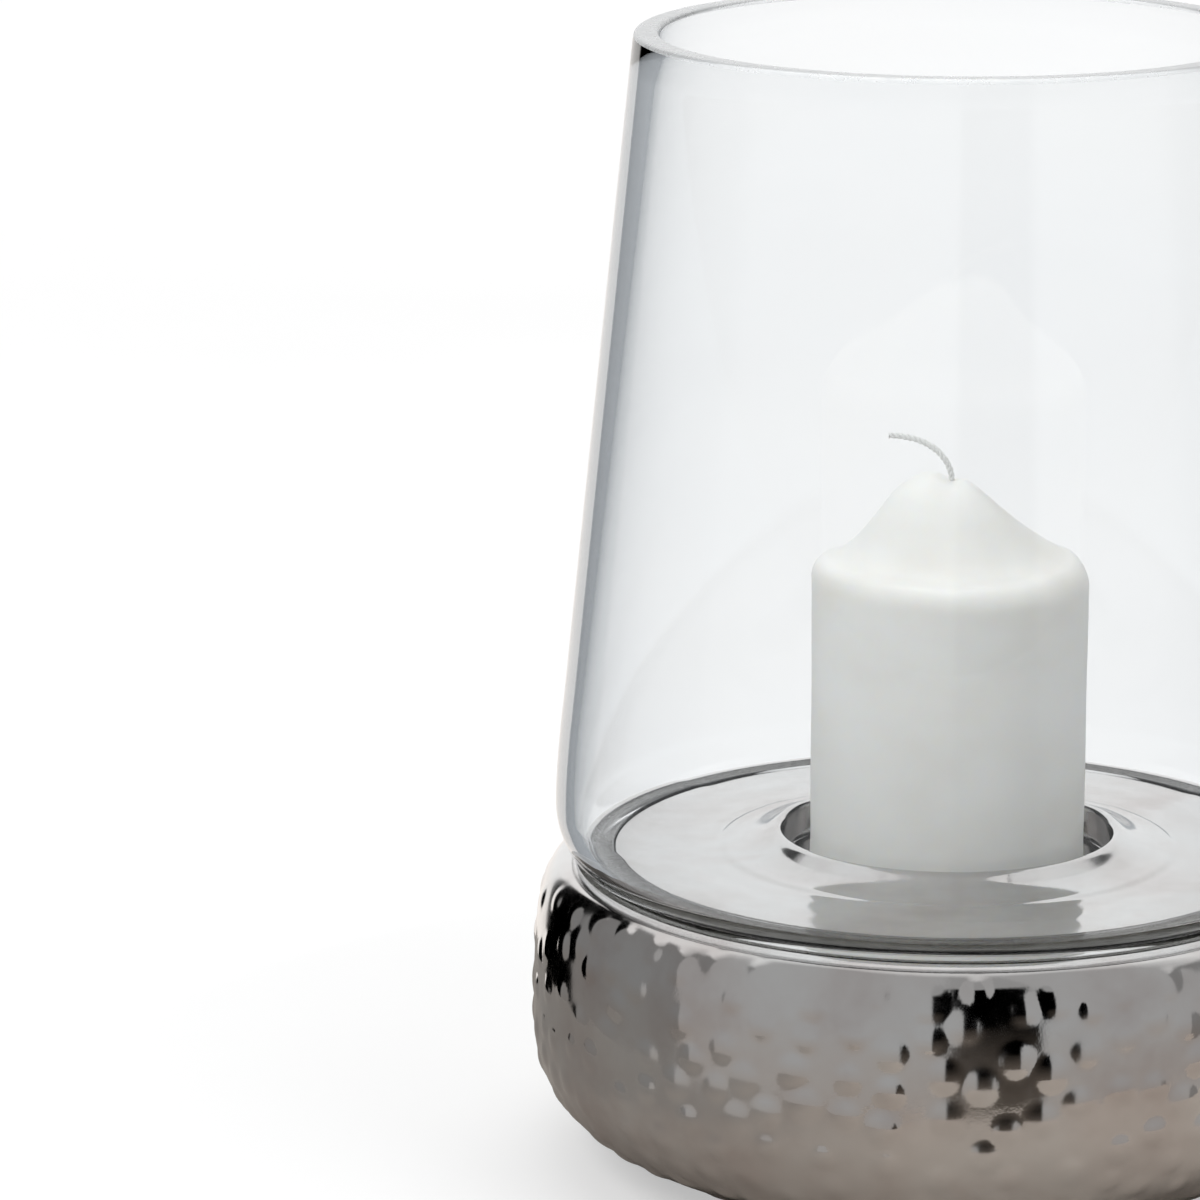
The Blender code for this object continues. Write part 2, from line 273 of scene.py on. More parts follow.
def ground_glass_material():
    """The rim, frosted by the grinding wheel."""
    material, tree, shader = new_material("ground_glass")
    shader.inputs["Transmission Weight"].default_value = 0.55
    shader.inputs["IOR"].default_value = 1.5
    tree.links.new(ramp(tree, noise(tree, 180.0, 4.0), [(0.35, (0.80, 0.82, 0.83)),
                                                        (0.65, (0.86, 0.875, 0.88))]),
                   shader.inputs["Base Color"])
    tree.links.new(rescale(tree, noise(tree, 240.0, 4.0), 0.22, 0.38), shader.inputs["Roughness"])
    bump(tree, shader, [(noise(tree, 3500.0, 3.0, 0.7), 0.00003, 0.1)])
    see_through_shadows(material, tree, shader, (0.85, 0.87, 0.88))
    return material


def wax_material():
    """Poured paraffin wax: milky, lit from within, with faint cooling bands and bloom."""
    material, tree, shader = new_material("poured_wax")
    tree.links.new(ramp(tree, noise(tree, 26.0, 4.0, 0.6, (1.0, 1.0, 1.8)),
                        [(0.30, (0.83, 0.815, 0.775)), (0.52, (0.875, 0.87, 0.84)),
                         (0.72, (0.90, 0.90, 0.88))]),
                   shader.inputs["Base Color"])
    shader.inputs["Subsurface Weight"].default_value = 0.45
    shader.inputs["Subsurface Radius"].default_value = (1.0, 0.85, 0.65)
    shader.inputs["Subsurface Scale"].default_value = 0.006
    shader.inputs["Coat Weight"].default_value = 0.12
    shader.inputs["Coat Roughness"].default_value = 0.35
    tree.links.new(rescale(tree, noise(tree, 90.0, 4.0, 0.6), 0.38, 0.58), shader.inputs["Roughness"])
    bump(tree, shader, [(noise(tree, 70.0, 3.0), 0.0006, 0.16), (noise(tree, 900.0, 3.0), 0.00005, 0.3)])
    return material


def cotton_material():
    """Waxed cotton: pale yarn with fine fibres along it and darker between the strands."""
    material, tree, shader = new_material("waxed_cotton")
    tree.links.new(ramp(tree, noise(tree, 1800.0, 4.0, 0.7), [(0.30, (0.68, 0.67, 0.65)),
                                                              (0.50, (0.86, 0.86, 0.84)),
                                                              (0.70, (0.92, 0.92, 0.91))]),
                   shader.inputs["Base Color"])
    tree.links.new(rescale(tree, noise(tree, 700.0), 0.55, 0.85), shader.inputs["Roughness"])
    shader.inputs["Sheen Weight"].default_value = 0.25
    bump(tree, shader, [(noise(tree, 5200.0, 3.0, 0.7, (1.0, 1.0, 0.35)), 0.0001, 0.7)])
    return material


def steel_material():
    """Tinned sheet steel with rolling marks."""
    material, tree, shader = new_material("tinned_steel")
    shader.inputs["Metallic"].default_value = 1.0
    marks = noise(tree, 420.0, 4.0, 0.6, (0.12, 1.0, 1.0))
    tree.links.new(ramp(tree, marks, [(0.35, (0.50, 0.50, 0.50)), (0.65, (0.66, 0.66, 0.65))]),
                   shader.inputs["Base Color"])
    tree.links.new(rescale(tree, marks, 0.24, 0.46), shader.inputs["Roughness"])
    bump(tree, shader, [(marks, 0.00005, 0.3)])
    return material


def felt_material():
    """Pressed charcoal felt."""
    material, tree, shader = new_material("pressed_felt")
    fibres = noise(tree, 2300.0, 6.0, 0.75)
    tree.links.new(ramp(tree, fibres, [(0.30, (0.035, 0.035, 0.04)), (0.55, (0.085, 0.085, 0.09)),
                                       (0.75, (0.16, 0.16, 0.165))]),
                   shader.inputs["Base Color"])
    tree.links.new(rescale(tree, fibres, 0.86, 1.0), shader.inputs["Roughness"])
    shader.inputs["Sheen Weight"].default_value = 0.5
    shader.inputs["Sheen Roughness"].default_value = 0.6
    bump(tree, shader, [(fibres, 0.0003, 0.9)])
    return material


EDGE_SHADE = (0.42, 0.445, 0.47)    # painted shade of the sweep, for light reflected on its way inside the glass


def paper_material():
    """The white sweep that the lantern stands on, glowing with painted light, more so further out.

    For light that was reflected inside the glass on its way, the sweep counts as grey: painted shade
    that draws the grey edge lines of the glass, and has no likeness in a real studio.
    """
    material, tree, shader = new_material("white_sweep")
    path = add(tree, "ShaderNodeLightPath")
    inside = add(tree, "ShaderNodeMath", {1: 0.5}, operation="GREATER_THAN")
    tree.links.new(path.outputs["Glossy Depth"], inside.inputs[0])
    shade = mix_colors(tree, "MIX", inside.outputs[0], (1.0, 1.0, 1.0), EDGE_SHADE)
    grain = ramp(tree, noise(tree, 4.0), [(0.3, (0.425, 0.425, 0.425)), (0.7, (0.44, 0.44, 0.44))])
    tree.links.new(mix_colors(tree, "MULTIPLY", 1.0, grain, shade), shader.inputs["Base Color"])
    tree.links.new(shade, shader.inputs["Emission Color"])
    shader.inputs["Roughness"].default_value = 0.9
    # painted light: the sweep glows, more so further from the lantern
    away = add(tree, "ShaderNodeVectorMath", operation="LENGTH")
    tree.links.new(add(tree, "ShaderNodeTexCoord").outputs["Object"], away.inputs[0])
    glow = ramp(tree, rescale(tree, away.outputs["Value"], 0.0, 1.0, 0.0, 3.8),
                [(0.0, (0.45,) * 3), (0.3, (0.49,) * 3), (1.0, (0.80,) * 3)])
    tree.links.new(glow, shader.inputs["Emission Strength"])
    return material


# ---- ceramic base ----
LIP_RADIUS, LIP_Z = 0.0952, 0.0774
BELLY_Z = 0.0371
FOOT_OUTER, FOOT_INNER = 0.056, 0.046
SEAT_INNER, SEAT_OUTER = 0.0849, 0.0942
COLLAR_RADIUS, COLLAR_Z = 0.0435, BASE_HIGH.z
WELL_RADIUS, WELL_Z = 0.042, CANDLE_LOW.z - GAP
DISH_Z = 0.0812
STEP_RADIUS, STEP_DROP = 0.0580, 0.0007
STEP_SOFTNESS = 0.00036
APRON_START = 0.0004          # the collar's outer slope starts this far out from its crest
APRON_WIDTH = 0.0050
RIPPLE_HEIGHT = 0.00006
RIPPLE_RATE = 560.0           # radians per metre
DISH_SAMPLES = 159
SHOULDER_POWER = 2.9          # squareness of the curve from lip to belly
UNDER_POWER = 2.5             # squareness of the curve from belly to foot
ROOF_Z = 0.0700
ROOF_OVERHANG = 0.0021        # the ceiling reaches this far out past the groove's inner edge
BASE_WALL = 0.005

OUTER_COLUMNS = 640
ROW_PITCH = 0.00106
BUMP_HEIGHT = 0.00054
BUMP_RADIUS = 0.0045
BUMP_SPACING = 0.0086         # least distance between the middles of two bumps
BUMP_TRIES = 9000
BUMP_TOP, BUMP_BOTTOM = 0.0085, 0.0145    # bare margins below the lip and above the foot
WAVE_DEPTH = 0.00016
WALL_FADE = 0.006             # the bumps' depth fades out this close to the lip and the foot


def dish_profile():
    """The top of the base, from the middle of the candle well out to the edge of the seat."""
    fillet = 0.002
    crest = COLLAR_RADIUS - WELL_RADIUS
    points = spread([(0.0, WELL_Z), (WELL_RADIUS - fillet, WELL_Z)], 0.004)
    points += ellipse_arc((WELL_RADIUS - fillet, WELL_Z + fillet), (fillet, fillet), -80.0, 0.0, 4)
    points += ellipse_arc((COLLAR_RADIUS, COLLAR_Z - crest), (crest, crest), 180.0, 75.0, 8)
    slope = []
    for i in range(1, DISH_SAMPLES + 1):
        t = i / DISH_SAMPLES
        radius = COLLAR_RADIUS + APRON_START + (SEAT_INNER - 0.0009 - COLLAR_RADIUS) * t
        run = (radius - COLLAR_RADIUS - APRON_START) / APRON_WIDTH
        apron = (COLLAR_Z - 0.00006 - DISH_Z) * math.exp(-run ** 1.4)
        step = STEP_DROP / (1.0 + math.exp((STEP_RADIUS - radius) / STEP_SOFTNESS))
        fade = min(1.0, 4.0 * (1.0 - t))
        ripple = RIPPLE_HEIGHT * math.sin((radius - STEP_RADIUS) * RIPPLE_RATE) * fade
        slope.append((radius, DISH_Z - step + apron + ripple))
    points += spread(slope, 0.00045)
    points += ellipse_arc((SEAT_INNER - 0.00025, DISH_Z - 0.00095), (0.00025, 0.00025), 75.0, 0.0, 3)
    points += [(SEAT_INNER, SEAT_Z + 0.0004), (SEAT_INNER + 0.0004, SEAT_Z),
               (SEAT_OUTER - 0.0004, SEAT_Z), (SEAT_OUTER, SEAT_Z + 0.0003)]
    return points


def wall_profile():
    """The outside of the base from lip to foot, evenly spaced."""
    belly = (BELLY_RADIUS, BELLY_Z)
    shoulder = super_quarter((LIP_RADIUS, LIP_Z), belly, SHOULDER_POWER, 80)
    under = super_quarter((FOOT_OUTER, FOOT_Z), belly, UNDER_POWER, 80)
    return spread(shoulder + under[-2::-1], ROW_PITCH)


def hollow_profile():
    """The foot ring and the hollow inside the base, up to the middle of its roof."""
    inner, floor_z = BELLY_RADIUS - BASE_WALL, FOOT_Z + BASE_WALL
    belly = (inner, BELLY_Z)
    under = super_quarter((FOOT_OUTER, floor_z), belly, UNDER_POWER, 10)
    shoulder = super_quarter((SEAT_INNER + ROOF_OVERHANG, ROOF_Z), belly, SHOULDER_POWER, 10)
    mouth = ellipse_arc((FOOT_INNER + 0.001, FOOT_Z + 0.001), (0.001, 0.001), 270.0, 180.0, 3)
    return mouth + [(FOOT_INNER, floor_z - 0.0005), (FOOT_INNER + 0.0005, floor_z)] \
        + under + shoulder[-2::-1] + [(0.030, ROOF_Z), (0.0, ROOF_Z)]


def bump_places(profile, lengths):
    """(distance along the profile, angle, radius, height) of every raised bump, placed at random."""
    random.seed(5)
    line = np.array(profile)
    places = np.zeros((0, 4))
    first, last = BUMP_TOP, lengths[-1] - BUMP_BOTTOM
    for _ in range(BUMP_TRIES):
        along, angle = random.uniform(first, last), random.uniform(0.0, math.tau)
        radius = float(np.interp(along, lengths, line[:, 0]))
        turn = (places[:, 1] - angle + math.pi) % math.tau - math.pi
        if np.any(np.hypot(turn * radius, places[:, 0] - along) < BUMP_SPACING):
            continue
        size = BUMP_RADIUS * random.uniform(0.80, 1.08)
        places = np.vstack([places, (along, angle, size, random.uniform(0.75, 1.0))])
    return places


def bump_field(profile, columns):
    """Height from 0, between the bumps, to 1, at the top of one, for every row and column."""
    lengths = profile_lengths(profile)
    radii = np.array(profile)[:, 0]
    angles = np.arange(columns) * (math.tau / columns)
    field = np.zeros((len(profile), columns))
    for along, angle, size, height in bump_places(profile, lengths):
        rows = np.nonzero(np.abs(lengths - along) < size)[0]
        turn = (angles - angle + math.pi) % math.tau - math.pi
        across = turn[None, :] * radii[rows, None]
        away = (across ** 2 + (lengths[rows, None] - along) ** 2) / size ** 2
        dome = height * np.clip(1.0 - away, 0.0, None) ** 1.2
        field[rows] = np.maximum(field[rows], dome)
    return field


def wavy(angle, height):
    """A slow unevenness of the hand-pressed wall, between 0 and 1."""
    broad = 0.25 * np.sin(5.0 * angle + 90.0 * height)
    fine = 0.25 * np.sin(8.0 * angle - 130.0 * height + 1.7)
    return 0.5 + broad + fine


def wall_vertices():
    """Rings of the bumpy wall. The tallest bumps reach almost to the profile, and all else is inside."""
    profile = wall_profile()
    normals = profile_normals(profile)
    lengths = profile_lengths(profile)
    angles = np.arange(OUTER_COLUMNS) * (math.tau / OUTER_COLUMNS)
    field = bump_field(profile, OUTER_COLUMNS)
    fade = np.clip(lengths / WALL_FADE, 0.0, 1.0)
    fade = fade * np.clip((lengths[-1] - lengths) / WALL_FADE, 0.0, 1.0)
    slow = wavy(angles[None, :], np.array(profile)[:, 1][:, None]) * WAVE_DEPTH
    depth = (BUMP_HEIGHT * (1.0 - field) + slow) * fade[:, None]
    rings = []
    for row, (radius, z) in enumerate(profile):
        out = radius - normals[row, 0] * depth[row]
        up = z - normals[row, 1] * depth[row]
        rings.append(np.stack([out * np.cos(angles), out * np.sin(angles), up], axis=1))
    return rings


def plain_ring(radius, z, columns):
    angles = np.arange(columns) * (math.tau / columns)
    return np.stack([radius * np.cos(angles), radius * np.sin(angles), np.full(columns, z)], axis=1)


def bridge(first, first_count, second, second_count):
    """Faces between two rings, the first above or further in. One may have twice the other's count."""
    if first_count == second_count:
        return ring_faces(first, second, first_count)
    faces = []
    if first_count < second_count:
        for i in range(first_count):
            a, b = first + i, first + (i + 1) % first_count
            c, d, e = (second + (2 * i + k) % second_count for k in range(3))
            faces += [(a, c, d), (a, d, b), (b, d, e)]
        return faces
    for i in range(second_count):
        a, b = second + i, second + (i + 1) % second_count
        c, d, e = (first + (2 * i + k) % first_count for k in range(3))
        faces += [(d, c, a), (d, a, b), (e, d, b)]
    return faces


def loft(name, rings):
    """A closed mesh through rings of points, a single point being a pole."""
    vertices, starts = [], []
    for ring in rings:
        starts.append(len(vertices))
        vertices.extend(map(tuple, ring))
    faces = []
    for (a, ring_a), (b, ring_b) in zip(zip(starts, rings), zip(starts[1:], rings[1:])):
        if len(ring_a) == 1:
            count = len(ring_b)
            faces += [(a, b + i, b + (i + 1) % count) for i in range(count)]
        elif len(ring_b) == 1:
            count = len(ring_a)
            faces += [(a + (i + 1) % count, a + i, b) for i in range(count)]
        else:
            faces += bridge(a, len(ring_a), b, len(ring_b))
    return new_mesh(name, vertices, faces)


def make_base():
    half = OUTER_COLUMNS // 2
    rings = []
    for radius, z in dish_profile():
        rings.append(plain_ring(radius, z, 1 if radius < 1e-7 else half))
    lip = ellipse_arc((LIP_RADIUS - 0.0002, LIP_Z - 0.0004), (0.0005, 0.0004), 165.0, 90.0, 3)
    rings += [plain_ring(radius, z, half) for radius, z in lip]
    rings += wall_vertices()[1:]
    for radius, z in hollow_profile():
        rings.append(plain_ring(radius, z, 1 if radius < 1e-7 else half))
    base = loft("lantern_base", rings)
    base.data.materials.append(glaze_material())
    base.data.materials.append(bisque_material())
    base.data.materials.append(groove_material())
    foot_edge = FOOT_Z + 0.0012
    for face in base.data.polygons:
        x, y, z = face.center
        across = math.hypot(x, y)
        low = z < foot_edge and across < FOOT_OUTER + 0.008
        inside = z < ROOF_Z + 0.0005 and face.normal.dot(Vector((x, y, z - BELLY_Z))) < 0.0
        # faces in the groove under the chimney take the painted shade of the third material
        over_groove = SEAT_INNER - 0.0002 < across < SEAT_OUTER + 0.0002
        groove = over_groove and ROOF_Z + 0.001 < z < LIP_Z
        face.material_index = 1 if low or inside else 2 if groove else 0
    base.data.set_sharp_from_angle(angle=math.radians(50.0))
    return ride(base, "base", "silver_glaze", "ceramic_base")


# ---- glass chimney ----
RIM_RADIUS = 0.0804
RIM_WALL = 0.0064
HEEL_Z = 0.0921
HEEL_WALL = 0.0046
RING_OUTER, RING_INNER = 0.0892, 0.0852
STRAIGHT_Z = 0.1180
RIM_EDGE = 0.0012             # rounding of the rim
GROUND_BAND = 1.02 * RIM_EDGE # depth of the frosting, over the rim and its rounded edges
TAPER_INSET = 0.0020          # the taper meets the heel's curve this far inside the widest circle
TAPER_EASE = 1.55             # how the wall runs from the heel into the taper
WALL_GROWTH = 0.0002          # the wall is this much thicker where the taper starts
GLASS_COLUMNS = 288


def chimney_profile():
    """The chimney's section, from the middle of the rim down the outside and up the inside."""
    taper = (HEEL_RADIUS - TAPER_INSET - RIM_RADIUS) / (RIM_Z - STRAIGHT_Z)
    straight_radius = RIM_RADIUS + taper * (RIM_Z - STRAIGHT_Z)
    bottom = GLASS_LOW.z
    rim_inner = RIM_RADIUS - RIM_WALL
    outer = ellipse_arc((RIM_RADIUS - RIM_EDGE, RIM_Z - RIM_EDGE), (RIM_EDGE, RIM_EDGE),
                        90.0, 4.0, 6)
    outer += spread([(RIM_RADIUS + taper * RIM_EDGE * 2.0, RIM_Z - 2.0 * RIM_EDGE),
                     (straight_radius, STRAIGHT_Z)], 0.008)
    for i in range(9, 0, -1):
        t = i / 10.0
        outer.append((HEEL_RADIUS - (HEEL_RADIUS - straight_radius) * t ** TAPER_EASE,
                      HEEL_Z + (STRAIGHT_Z - HEEL_Z) * t))
    outer += ellipse_arc((RING_OUTER, HEEL_Z), (HEEL_RADIUS - RING_OUTER, HEEL_Z - bottom),
                         0.0, -88.0, 30)
    foot = [(RING_OUTER - 0.0004, bottom), (RING_INNER + 0.0006, bottom)]
    foot += ellipse_arc((RING_INNER + 0.0006, bottom + 0.0006), (0.0006, 0.0006), 255.0, 180.0, 3)
    inner = ellipse_arc((RING_INNER + 0.0005, bottom + HEEL_WALL - 0.0005),
                        (0.0005, 0.0005), 180.0, 95.0, 4)
    inner += ellipse_arc((RING_OUTER, HEEL_Z),
                         (HEEL_RADIUS - RING_OUTER - HEEL_WALL, HEEL_Z - bottom - HEEL_WALL),
                         -84.0, 0.0, 22)
    inner_heel = HEEL_RADIUS - HEEL_WALL
    inner_straight = straight_radius - HEEL_WALL - WALL_GROWTH
    for i in range(1, 10):
        t = i / 10.0
        inner.append((inner_heel - (inner_heel - inner_straight) * t ** TAPER_EASE,
                      HEEL_Z + (STRAIGHT_Z - HEEL_Z) * t))
    inner += spread([(inner_straight, STRAIGHT_Z),
                     (rim_inner - 0.00008, RIM_Z - 2.0 * RIM_EDGE)], 0.008)
    inner += ellipse_arc((rim_inner + RIM_EDGE, RIM_Z - RIM_EDGE), (RIM_EDGE, RIM_EDGE),
                         176.0, 90.0, 6)
    return outer, foot, inner


def make_chimney():
    outer, foot, inner = chimney_profile()
    profile = outer + foot + inner
    rings = [plain_ring(radius, z, GLASS_COLUMNS) for radius, z in profile]
    vertices = [tuple(point) for ring in rings for point in ring]
    faces = []
    for k in range(len(profile)):
        faces += ring_faces(k * GLASS_COLUMNS, (k + 1) % len(profile) * GLASS_COLUMNS, GLASS_COLUMNS)
    chimney = new_mesh("lantern_chimney", vertices, faces)
    chimney.data.materials.append(glass_material())
    chimney.data.materials.append(ground_glass_material())
    for face in chimney.data.polygons:
        rim = face.center.z > RIM_Z - GROUND_BAND
        face.material_index = 1 if rim else 0
    return ride(chimney, "chimney", "clear_glass", "glass_chimney")


# ---- candle ----
CROWN_Z = 0.1545
PEAK_RISE = 0.0235
PEAK_WIDTH = 0.019
PEAK_LEAN = 0.0040
SHOULDER_Z = 0.1500
SHOULDER = 0.0045
CROWN_RINGS = 45
SHOULDER_RINGS = 6
DENT_DEPTH = 0.00022
TAB_RECESS = 0.0011           # depth of the recess for the sustainer's disc
NECK_BORE, NECK_TOP = 0.0024, 0.0066      # of the bore for its neck, above the candle's foot
CANDLE_COLUMNS = 160


def crown_surface(radius, angle):
    """Height of the burnt-down crown at a place on the candle, before it is pushed to -X."""
    x, y = radius * math.cos(angle), radius * math.sin(angle)
    turn = math.cos(angle)
    width = PEAK_WIDTH * (1.0 + 0.10 * max(0.0, turn) + 0.05 * math.sin(2.0 * angle + 0.6))
    lump = 0.0005 * math.sin(260.0 * x + 1.0) * math.sin(230.0 * y + 0.4) * min(1.0, radius / 0.012)
    dimple = 0.0017 * math.exp(-((x - 0.0036) / 0.0032) ** 2 - (y / 0.009) ** 2)
    rise = PEAK_RISE * math.exp(-(radius / width) ** 2.4)
    return CROWN_Z + rise + lump - dimple


def make_candle():
    crown_radius = CANDLE_RADIUS - SHOULDER
    rings = [[(-PEAK_LEAN, 0.0, crown_surface(0.0, 0.0))]]
    angles = [math.tau * i / CANDLE_COLUMNS for i in range(CANDLE_COLUMNS)]
    for k in range(1, CROWN_RINGS + 1):
        radius = crown_radius * k / CROWN_RINGS
        ring = []
        for angle in angles:
            z = crown_surface(radius, angle)
            lean = PEAK_LEAN * min(max((z - SHOULDER_Z) / PEAK_RISE, 0.0), 1.0)
            ring.append((radius * math.cos(angle) - lean, radius * math.sin(angle), z))
        rings.append(ring)
    crown_edge = rings[CROWN_RINGS]
    for k in range(1, SHOULDER_RINGS + 1):
        bend = math.radians(90.0 - 15.0 * k)
        ring = []
        for i, angle in enumerate(angles):
            edge = crown_edge[i]
            top = edge[2]
            radius = crown_radius + SHOULDER * math.cos(bend)
            lean = crown_radius * math.cos(angle) - edge[0]
            share = math.sin(bend)
            ring.append((radius * math.cos(angle) - lean * share, radius * math.sin(angle),
                         SHOULDER_Z + (top - SHOULDER_Z) * share))
        rings.append(ring)
    side = spread([(CANDLE_RADIUS, SHOULDER_Z - 0.001),
                   (CANDLE_RADIUS, CANDLE_LOW.z + 0.0015)], 0.0015)
    for radius, z in side:
        ring = []
        for angle in angles:
            swell = 0.5 * math.sin(3.0 * angle + 60.0 * z) * math.sin(5.0 * angle - 95.0 * z)
            dent = DENT_DEPTH * (0.5 + swell)
            fade = min(1.0, (SHOULDER_Z - z) / 0.006, (z - CANDLE_LOW.z) / 0.006)
            dented = radius - dent * fade
            ring.append((dented * math.cos(angle), dented * math.sin(angle), z))
        rings.append(ring)
    low, recess = CANDLE_LOW.z, TAB_HIGH.x + GAP
    foot = ellipse_arc((CANDLE_RADIUS - 0.0012, low + 0.0012), (0.0012, 0.0012), -10.0, -90.0, 5)
    foot += [(0.020, low), (recess, low), (recess, low + TAB_RECESS), (0.004, low + TAB_RECESS),
             (NECK_BORE, low + 0.0013), (NECK_BORE, low + NECK_TOP)]
    rings += [plain_ring(radius, z, CANDLE_COLUMNS) for radius, z in foot]
    rings.append([(0.0, 0.0, low + NECK_TOP)])
    candle = loft("pillar_candle_wax", rings)
    candle.data.materials.append(wax_material())
    return ride(candle, "candle", "candle_wax", "pillar_candle")


# ---- wick ----
WICK_EXIT_Z = 0.1760          # the wick runs straight up to here, then curls over
WICK_SPLIT = 0.80             # share of the route that is straight
WICK_STEPS = 150
STRAND_COUNT = 3
STRAND_RADIUS = 0.00043
STRAND_OFFSET = 0.00044
STRAND_LAY = 0.0042           # length of one turn of a strand
STRAND_SIDES = 8


def wick_route(t):
    """The wick's middle at t from 0, the foot, to 1, the tip."""
    if t < WICK_SPLIT:
        return Vector((0.0, 0.0, WICK_LOW.z + (WICK_EXIT_Z - WICK_LOW.z) * t / WICK_SPLIT))
    u = (t - WICK_SPLIT) / (1.0 - WICK_SPLIT)
    reach = (-WICK_LOW.x - STRAND_RADIUS) * u ** 1.6
    lift = (WICK_HIGH.z - WICK_EXIT_Z - 0.0010) * math.sin(0.5 * math.pi * u ** 0.85)
    return Vector((-reach, 0.0, WICK_EXIT_Z + lift))


def make_wick():
    """Three yarns twisted round each other and cut off flat."""
    spots = [wick_route(i / WICK_STEPS) for i in range(WICK_STEPS + 1)]
    vertices, faces = [], []
    travelled = [0.0]
    for first, second in zip(spots, spots[1:]):
        travelled.append(travelled[-1] + (second - first).length)
    for strand in range(STRAND_COUNT):
        start = len(vertices)
        for i, spot in enumerate(spots):
            ahead = (spots[min(i + 1, WICK_STEPS)] - spots[max(i - 1, 0)]).normalized()
            side = Vector((0.0, 1.0, 0.0))
            over = ahead.cross(side).normalized()
            phase = math.tau * (travelled[i] / STRAND_LAY + strand / STRAND_COUNT)
            middle = spot + (side * math.cos(phase) + over * math.sin(phase)) * STRAND_OFFSET
            for k in range(STRAND_SIDES):
                turn = math.tau * k / STRAND_SIDES
                vertices.append(middle + (side * math.cos(turn) + over * math.sin(turn)) * STRAND_RADIUS)
        for i in range(WICK_STEPS):
            a, b = start + i * STRAND_SIDES, start + (i + 1) * STRAND_SIDES
            for k in range(STRAND_SIDES):
                n = (k + 1) % STRAND_SIDES
                faces.append((a + k, b + k, b + n, a + n))
        faces.append(tuple(start + k for k in range(STRAND_SIDES)))
        faces.append(tuple(start + WICK_STEPS * STRAND_SIDES + k for k in reversed(range(STRAND_SIDES))))
    wick = new_mesh("braided_wick", vertices, faces)
    wick.data.set_sharp_from_angle(angle=math.radians(50.0))
    wick.data.materials.append(cotton_material())
    return ride(wick, "candle", "cotton_wick", "candle_wick")


# ---- wick sustainer ----
def make_sustainer():
    """A stamped disc with a rolled edge, two pressed rings and a crimped neck."""
    low, neck_top, radius = TAB_LOW.z, TAB_HIGH.z, TAB_HIGH.x
    top = low + 0.0005
    bore, neck = 0.0012, 0.0021
    section = [(bore, neck_top), (neck - 0.0002, neck_top), (neck, neck_top - 0.0002)]
    section += spread([(neck, neck_top - 0.0004), (neck, top + 0.0008)], 0.0004)
    section += ellipse_arc((neck + 0.0006, top + 0.0006), (0.0006, 0.0006), 180.0, 270.0, 4)
    for i in range(1, 25):
        at = neck + 0.0006 + (radius - 0.0002 - neck - 0.0006) * i / 24.0
        ring = math.exp(-((at - 0.0052) / 0.0004) ** 2) + math.exp(-((at - 0.0080) / 0.0004) ** 2)
        section.append((at, top - 0.00016 * ring))
    section += [(radius, top - 0.0002), (radius, low + 0.0001), (radius - 0.0001, low), (bore, low)]
    columns = 96
    rings = []
    for at, z in section:
        ring = plain_ring(at, z, columns)
        crimped = at > bore + 0.0001 and z > top + 0.0012 and z < neck_top - 0.0006
        if crimped:
            angles = np.arange(columns) * (math.tau / columns)
            pinch = 1.0 - 0.10 * np.clip(np.cos(4.0 * angles), 0.0, 1.0) ** 2
            ring[:, 0] *= pinch
            ring[:, 1] *= pinch
        rings.append(ring)
    vertices = [tuple(point) for ring in rings for point in ring]
    faces = []
    for k in range(len(section)):
        faces += ring_faces(k * columns, (k + 1) % len(section) * columns, columns)
    tab = new_mesh("stamped_sustainer", vertices, faces)
    tab.data.set_sharp_from_angle(angle=math.radians(40.0))
    tab.data.materials.append(steel_material())
    return ride(tab, "candle", "tinned_steel", "wick_sustainer")


# ---- felt pads ----
def make_pad(index, material):
    """A punched felt disc, soft at its upper edge and slightly uneven round its side."""
    node = f"felt_pad_{index}"
    low, high = (Vector(corner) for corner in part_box(node))
    middle = (low + high) / 2.0
    radius = (high.x - low.x) / 2.0
    random.seed(100 + index)
    section = [(0.0, high.z), (0.35 * radius, high.z), (0.7 * radius, high.z)]
    section += ellipse_arc((radius - 0.0004, high.z - 0.0004), (0.0004, 0.0004), 80.0, 0.0, 4)
    section += [(radius - 0.00006, middle.z)]
    section += ellipse_arc((radius - 0.0003, low.z + 0.0003), (0.0003, 0.0003), 0.0, -90.0, 4)
    section += [(0.6 * radius, low.z), (0.0, low.z)]
    columns = 48
    rings = []
    for at, z in section:
        if at < 1e-7:
            rings.append(np.array([[0.0, 0.0, z]]))
            continue
        ring = plain_ring(at, z, columns)
        fuzz = np.array([1.0 - random.uniform(0.0, 0.018) for _ in range(columns)])
        ring[:, 0] *= fuzz
        ring[:, 1] *= fuzz
        rings.append(ring)
    for ring in rings:
        ring[:, 0] += middle.x
        ring[:, 1] += middle.y
    pad = loft(f"soft_pad_{index}", rings)
    pad.data.materials.append(material)
    return ride(pad, "base", "felt", node)


# ---- floor, light and camera ----
TABLE_RADIUS = 0.24           # polished surfaces see a floor only inside this circle


def table_material():
    """The floor close to the lantern as its polished surfaces show it, warm and half lit: painted shade,
    darker towards -X.
    """
    material, tree, shader = new_material("warm_table")
    place = add(tree, "ShaderNodeSeparateXYZ")
    tree.links.new(add(tree, "ShaderNodeTexCoord").outputs["Object"], place.inputs["Vector"])
    grain = ramp(tree, noise(tree, 14.0), [(0.3, (0.92,) * 3), (0.7, (1.0,) * 3)])
    # painted shade: darker towards -X
    shade = ramp(tree, rescale(tree, place.outputs["X"], 0.0, 1.0, -0.17, -0.02),
                 [(0.0, (0.20, 0.185, 0.17)), (1.0, (0.37, 0.325, 0.285))])
    tree.links.new(mix_colors(tree, "MULTIPLY", 1.0, shade, grain), shader.inputs["Base Color"])
    shader.inputs["Roughness"].default_value = 0.8
    return material


